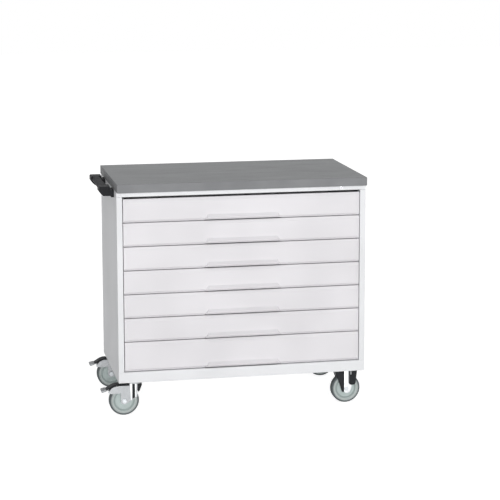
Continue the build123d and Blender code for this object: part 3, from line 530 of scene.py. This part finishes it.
fork_ribs, fork_shade_plates = bmesh.new(), bmesh.new()
for side in sides:
    low, high = wheels[f"fixed_{side}"]
    both_sides(fork_ribs, low, high, fixed_rib, rise=4.6, rounding=1.4)
    # Each of these outlines is a black plate of painted shade on the cheek.
    for guard in (left_shade_plate, right_shade_plate):
        both_sides(fork_shade_plates, low, high, guard, rise=3.2, rounding=0.9)
finished("fixed_fork_ribs", fork_ribs, zinc_rib_painted_highlight, "cabinet")
finished("fixed_fork_guards", fork_shade_plates, trim_black, "cabinet")
for side in sides:
    low, high = wheels[f"swivel_{side}"]
    ribs, strip = bmesh.new(), bmesh.new()
    for outline in neck_ribs:
        both_sides(ribs, low, high, outline, rise=2.4, rounding=0.8)
    both_sides(strip, low, high, neck_painted_shade, rise=0.9, rounding=0.3)
    finished(f"swivel_neck_ribs_{side}", ribs, zinc_rib_painted_highlight, f"swivel_{side}")
    finished(f"swivel_neck_strip_{side}", strip, trim_black, f"swivel_{side}")
print("ribs and dark_shade_plates on", len(wheels), "castors")

# %% [markdown]
# ## Brake pads
#
# The tip of each brake lever wears a plated steel cap where the foot presses. The cap wraps
# the lever's end all round, and five low ridges across it stop a shoe from slipping.

# %% Pedal caps
cap_outline = [
    (-95.6, 107.4), (-94.6, 109.6), (-92.2, 110.6), (-75.6, 114.3),
    (-73.2, 108.2), (-90.2, 102.8), (-93.6, 102.9), (-95.4, 104.9),
]  # X from the axle and Z from the floor
cap_half_width = 24.8 * MM
cap_rounding = 0.9 * MM
for side in sides:
    centre = centre_of(f"wheel_core_swivel_{side}")
    shape = bmesh.new()
    outline = about(Vector((centre.x, centre.y, 0)), cap_outline)
    add_plate(shape, outline, centre.y - cap_half_width, centre.y + cap_half_width, cap_rounding)
    finished(f"pedal_cap_{side}", shape, pedal_steel, f"brake_{side}")
print("pedal caps:", len(sides))

# %% [markdown]
# ## Rows of copies with Geometry Nodes
#
# Beads and ridges are one small shape repeated at an even spacing. A node tree does that best:
# a line of points, a copy of the shape on each, and a material. The same tree serves every row,
# because its inputs name the shape, the count, the first place and the step.
# At the end the copies are made real and the result is kept as a plain mesh.

# %% The tree for a row
def row_tree():
    tree = bpy.data.node_groups.new("row_of_copies", "GeometryNodeTree")
    inputs = {
        "Geometry": "Geometry", "Shape": "Object", "Count": "Int",
        "First": "Vector", "Step": "Vector", "Material": "Material",
    }
    for name, kind in inputs.items():
        tree.interface.new_socket(name, in_out="INPUT", socket_type=f"NodeSocket{kind}")
    tree.interface.new_socket("Geometry", in_out="OUTPUT", socket_type="NodeSocketGeometry")
    given = tree.nodes.new("NodeGroupInput").outputs
    sockets = {"Count": given["Count"], "Start Location": given["First"], "Offset": given["Step"]}
    line = add(tree, "GeometryNodeMeshLine", sockets).outputs["Mesh"]
    shape = add(tree, "GeometryNodeObjectInfo", {"Object": given["Shape"]}).outputs["Geometry"]
    placed = add(tree, "GeometryNodeInstanceOnPoints", {"Points": line, "Instance": shape})
    with_others = tree.nodes.new("GeometryNodeJoinGeometry")
    tree.links.new(given["Geometry"], with_others.inputs[0])
    tree.links.new(placed.outputs["Instances"], with_others.inputs[0])
    real = add(tree, "GeometryNodeRealizeInstances", {"Geometry": with_others.outputs[0]}).outputs[0]
    sockets = {"Geometry": real, "Material": given["Material"]}
    done = add(tree, "GeometryNodeSetMaterial", sockets).outputs[0]
    add(tree, "NodeGroupOutput", {"Geometry": done})
    return tree


row_of_copies = row_tree()


def rows(name, shape, lines, material, body):
    """Rows of copies of a bmesh as one piece. Each line is a count, a first place and a step."""
    mesh = bpy.data.meshes.new(f"{name}_shape")
    shape.to_mesh(mesh)
    mesh.polygons.foreach_set("use_smooth", [True] * len(mesh.polygons))
    mesh.set_sharp_from_angle(angle=radians(50))
    pattern = bpy.data.objects.new(f"{name}_shape", mesh)
    carrier = bpy.data.objects.new(f"{name}_carrier", bpy.data.meshes.new(f"{name}_carrier"))
    for each in (pattern, carrier):
        bpy.context.scene.collection.objects.link(each)
    items = row_of_copies.interface.items_tree
    sockets = {item.name: item.identifier for item in items if item.in_out == "INPUT"}
    for count, first, step in lines:
        modifier = carrier.modifiers.new("row", "NODES")
        modifier.node_group = row_of_copies
        modifier[sockets["Shape"]] = pattern
        modifier[sockets["Count"]] = count
        modifier[sockets["First"]] = list(first)
        modifier[sockets["Step"]] = list(step)
        modifier[sockets["Material"]] = material
    ready = bpy.context.evaluated_depsgraph_get()
    result = bpy.data.meshes.new_from_object(carrier.evaluated_get(ready), depsgraph=ready)
    result.name = name
    carrier.modifiers.clear()
    for each in (pattern, carrier):
        bpy.data.objects.remove(each)
    piece = bpy.data.objects.new(name, result)
    bpy.context.scene.collection.objects.link(piece)
    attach(piece, body)
    return piece


print("row tree has", len(row_of_copies.nodes), "nodes")

# %% [markdown]
# ## Half-round bars
#
# Beads and ridges are both half-round bars with softened ends. A bar is a stack of rings of
# points, which are joined by a skin. Each station says how far along the bar a ring lies and
# what share of the full size it has, and a small function turns that into X, Y and Z.

# %% Rings to a skin
def add_skin(shape, rings):
    """Join rings of points into a closed skin with a flat cap at each end."""
    for lower, upper in zip(rings, rings[1:]):
        for place in range(len(lower)):
            following = (place + 1) % len(lower)
            shape.faces.new((lower[place], lower[following], upper[following], upper[place]))
    shape.faces.new(rings[0])
    shape.faces.new(rings[-1])


def half_round(stations, half_width, rise, sink, points, place_in_space):
    """Half-round bar, sunk a little so that it meets the face below it."""
    shape = bmesh.new()
    rings = []
    for along, share in stations:
        ring = []
        for turn in range(points):
            angle = pi * turn / (points - 1)
            across, up = half_width * share * cos(angle), rise * share * sin(angle) - sink
            ring.append(shape.verts.new(place_in_space(across, up, along)))
        rings.append(ring)
    add_skin(shape, rings)
    bmesh.ops.recalc_face_normals(shape, faces=shape.faces)
    return shape


print("half-round bars can be made from stations")

# %% [markdown]
# ## Divider beads in the drawers
#
# Each drawer's front and back walls carry a row of pressed beads, and a steel divider slides
# in between two of them. A bead is a half-round ridge with a rounded top and foot. It is about
# as tall as the wall, so its length follows the drawer.

# %% Beads
bead_pitch = 47.5 * MM
bead_half_width = 2.4 * MM
bead_rise = 1.8 * MM
bead_sink = 0.2 * MM
bead_margin = 6 * MM  # from the wall's foot and top edge to the bead
into_wall = 0.5 * MM  # from the wall's inner face to the middle of its sheet


def bead(length, out):
    """Half-round ridge along Z that stands out along Y, with rounded ends."""
    end = bead_half_width * 1.5
    foot = ((0, 0.05), (end * 0.35, 0.6), (end, 1))
    top = [(length - along, share) for along, share in reversed(foot)]
    return half_round(
        [*foot, (length / 2, 1), *top], bead_half_width, bead_rise, bead_sink, 7,
        lambda across, up, along: (across, out * up, along),
    )


for number in drawer_numbers:
    inside_low, inside_high = openings[f"drawer_{number}_inside"]
    low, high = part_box(f"drawer_tray_{number}")
    foot_z = low.z + bead_margin
    length = high.z - foot_z - bead_margin
    count = int((inside_high[0] - inside_low[0] - 2 * bead_pitch) / bead_pitch)
    start = (inside_low[0] + inside_high[0]) / 2 - (count - 1) * bead_pitch / 2
    front_wall = inside_low[1] - into_wall
    back_wall = inside_high[1] + into_wall
    for end, y, out in (("front", front_wall, 1), ("back", back_wall, -1)):
        rows(
            f"divider_beads_{end}_{number}", bead(length, out),
            [(count, (start, y, foot_z), (bead_pitch, 0, 0))],
            tray_paint, f"drawer_{number}",
        )
print(f"{count} beads on each of {2 * len(drawer_numbers)} walls")

# %% [markdown]
# ## Ridges on the brake pads
#
# Five low ridges lie across each pedal cap, a few millimetres apart.

# %% Pedal ridges
ridge_half_width = 1.1 * MM
ridge_rise = 0.9 * MM
ridge_sink = 0.3 * MM
ridge_taper = 1.5 * MM  # length of each softened end
ridge_to_cap_edge = 3 * MM
ridge_count = 5
ridge_first = Vector((-90.5, 0, 111.0)) * MM  # X from the axle and Z from the floor
ridge_last = Vector((-77.5, 0, 113.9)) * MM


def ridge(reach):
    """Low rounded bar along Y."""
    full = reach - ridge_taper
    return half_round(
        ((-reach, 0.3), (-full, 1), (full, 1), (reach, 0.3)),
        ridge_half_width, ridge_rise, ridge_sink, 6,
        lambda across, up, along: (across, along, up),
    )


for side in sides:
    centre = centre_of(f"wheel_core_swivel_{side}")
    first = Vector((centre.x, centre.y, 0)) + ridge_first
    step = (ridge_last - ridge_first) / (ridge_count - 1)
    rows(
        f"pedal_ridges_{side}", ridge(cap_half_width - ridge_to_cap_edge),
        [(ridge_count, first, step)],
        pedal_steel, f"brake_{side}",
    )
print(f"{ridge_count} ridges on each pedal")

# %% [markdown]
# ## Moulded faces of the handle brackets
#
# Each bracket is moulded in black nylon. Its lower part, where it meets the side panel, is
# thicker than the arm above, so a step runs across its face and catches a thin line of light.

# %% Bracket faces
bracket_low, bracket_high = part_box("handle_brackets")
panel_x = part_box("side_panel_left")[0].x
edge_x = bracket_low.x
step_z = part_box("worktop_board")[0].z
seat_x = panel_x - 0.4 * MM
foot_x = panel_x - 10.5 * MM
foot_z = bracket_low.z + 0.5 * MM
knee_z = step_z - 24.6 * MM
face_outline = [
    (seat_x, step_z), (seat_x, foot_z), (foot_x, foot_z), (foot_x, knee_z),
    (edge_x + 18 * MM, knee_z), (edge_x + 7 * MM, step_z - 15.5 * MM),
    (edge_x + 2 * MM, step_z - 8 * MM), (edge_x + 0.8 * MM, step_z),
]
bracket_length = 66 * MM
face_sink = 0.5 * MM
face_rise = 1.6 * MM
face_rounding = 0.7 * MM
shape = bmesh.new()
for front_face in (bracket_low.y, bracket_high.y - bracket_length):
    for face, out in ((front_face, -1), (front_face + bracket_length, 1)):
        near, far = face - out * face_sink, face + out * face_rise
        add_plate(shape, face_outline, near, far, face_rounding)
finished("handle_bracket_faces", shape, nylon_black, "cabinet")
print("bracket faces at z", round(step_z, 3))

# %% [markdown]
# ## Hexagon sockets in the screws
#
# The cabinet's screws are button heads with a hexagon socket. Each screw is its own shell in
# the CAD mesh, so the shells are told apart first, and the head is the end with the wider
# spread. A small dark hexagon with a raised lip goes on each head: its dark colour is painted
# shade, standing in for the shadow inside the socket.

# %% Sockets
head_depth = 2.7 * MM
socket_corners = 6
socket_rings = ((2.3, -0.2), (2.3, 0.12), (1.75, 0.12), (1.6, -0.1))  # radius and rise in millimetres


def shells(part):
    """Lists of corner positions, one list for each closed shell of a CAD part."""
    copy = bmesh.new()
    copy.from_mesh(part.data)
    bmesh.ops.remove_doubles(copy, verts=copy.verts, dist=1e-6)
    seen, found = set(), []
    for start in copy.verts:
        if start in seen:
            continue
        group, waiting = [], [start]
        seen.add(start)
        while waiting:
            corner = waiting.pop()
            group.append(corner.co.copy())
            for edge in corner.link_edges:
                other = edge.other_vert(corner)
                if other not in seen:
                    seen.add(other)
                    waiting.append(other)
        found.append(group)
    copy.free()
    return found


def off_axis(offset, axis):
    """How far an offset reaches at right angles to an axis."""
    flat = offset.copy()
    flat[axis] = 0
    return flat.length


def head_of(corners):
    """Middle of a screw's head and the direction that it faces."""
    low = Vector(min(c[axis] for c in corners) for axis in range(3))
    high = Vector(max(c[axis] for c in corners) for axis in range(3))
    middle = (low + high) / 2
    axis = max(range(3), key=lambda a: (high - low)[a])
    widths = []
    for end in (low[axis], high[axis]):
        near = [c for c in corners if abs(c[axis] - end) < head_depth]
        widths.append(max(off_axis(c - middle, axis) for c in near))
    head_is_low = widths[0] > widths[1]
    out = Vector((0, 0, 0))
    out[axis] = -1 if head_is_low else 1
    top = middle.copy()
    top[axis] = low[axis] if head_is_low else high[axis]
    return top, out


socket_shape = bmesh.new()
screws = shells(nodes["assembly_screws"])
for corners in screws:
    top, out = head_of(corners)
    turn = out.to_track_quat("Z", "Y").to_matrix()
    rings = []
    for radius, rise in socket_rings:
        ring = []
        for place in range(socket_corners):
            angle = 2 * pi * place / socket_corners
            corner = Vector((radius * cos(angle), radius * sin(angle), rise)) * MM
            ring.append(socket_shape.verts.new(top + turn @ corner))
        rings.append(ring)
    add_skin(socket_shape, rings)
finished("screw_sockets", socket_shape, socket_shade_paint, "cabinet", smooth=False)
print("sockets in", len(screws), "screws")

# %% [markdown]
# ## The studio
#
# The bench stands on a plain pale floor under soft light. One very large lamp stands in front, a
# little towards the handle's end and a little above level, so a face that looks straight ahead
# is the brightest and every bevel is a little darker. The even surroundings fill in the sides
# and the top at about half that level. The floor and the surroundings look white to the eye and
# to the metal, while what they shed on the paint stays at a plain level. The floor keeps a faint
# shadow under the castors.

# %% Floor, light and camera
def white_for_the_eye(tree):
    """1 for rays from the camera, and for reflected and transmitted ones, and 0 for diffuse light."""
    path = add(tree, "ShaderNodeLightPath").outputs
    sockets = {0: path["Is Camera Ray"], 1: path["Is Glossy Ray"]}
    seen = add(tree, "ShaderNodeMath", sockets, operation="MAXIMUM").outputs[0]
    sockets = {0: seen, 1: path["Is Transmission Ray"]}
    return add(tree, "ShaderNodeMath", sockets, operation="MAXIMUM").outputs[0]


ambient = 0.37  # what the surroundings shed, where white is 1
floor_glow = 0.82  # what the floor adds to look white
floor_reach = 20.0
lamp_energy = 2.65
lamp_angle = radians(30)
towards_lamp = Vector((-0.12, -1.0, 0.07))
eye_place = (-1.325, -7.264, 2.032)
eye_turn = radians(-12.08)
eye_tilt = radians(8.89)
lens_share = 3.486  # focal length over the sensor's width

world = bpy.data.worlds.new("even_surroundings")
bpy.context.scene.world = world
world.use_nodes = True
sky = world.node_tree
sky.nodes.clear()
strength = spread(sky, white_for_the_eye(sky), ambient, 1.0)
background = add(sky, "ShaderNodeBackground", {"Color": (1, 1, 1, 1), "Strength": strength})
add(sky, "ShaderNodeOutputWorld", {"Surface": background.outputs[0]})

floor_mesh = bpy.data.meshes.new("studio_floor")
floor_corners = [(x * floor_reach, y * floor_reach, 0) for x, y in ((-1, -1), (1, -1), (1, 1), (-1, 1))]
floor_mesh.from_pydata(floor_corners, [], [(0, 1, 2, 3)])
floor = bpy.data.objects.new("studio_floor", floor_mesh)
bpy.context.scene.collection.objects.link(floor)
floor_paint = bpy.data.materials.new("matt_white_studio_floor")
floor_paint.use_nodes = True
tree = floor_paint.node_tree
tree.nodes.clear()
matt = add(tree, "ShaderNodeBsdfDiffuse", {"Color": colour("d8d8d8")})
glow = add(tree, "ShaderNodeEmission", {"Color": (1, 1, 1, 1), "Strength": floor_glow})
both = add(tree, "ShaderNodeAddShader", {0: matt.outputs[0], 1: glow.outputs[0]})
seen = white_for_the_eye(tree)
surface = add(tree, "ShaderNodeMixShader", {0: seen, 1: matt.outputs[0], 2: both.outputs[0]})
add(tree, "ShaderNodeOutputMaterial", {"Surface": surface.outputs[0]})
floor_mesh.materials.append(floor_paint)

key = bpy.data.lights.new("key_lamp", "SUN")
key.energy = lamp_energy
key.angle = lamp_angle
key_lamp = bpy.data.objects.new("key_lamp", key)
key_lamp.rotation_euler = towards_lamp.to_track_quat("Z", "Y").to_euler()
bpy.context.scene.collection.objects.link(key_lamp)

camera = bpy.data.cameras.new("camera")
camera.sensor_width = 36.0
camera.lens = lens_share * camera.sensor_width
camera.shift_x = -0.05
camera.shift_y = -0.11
camera.clip_end = 100
eye = bpy.data.objects.new("camera", camera)
eye.location = eye_place
eye.rotation_euler = (radians(90) - eye_tilt, 0, eye_turn)
bpy.context.scene.collection.objects.link(eye)
bpy.context.scene.camera = eye
bpy.context.scene.view_settings.view_transform = "Standard"
print("studio: floor, one lamp, even surroundings, camera")
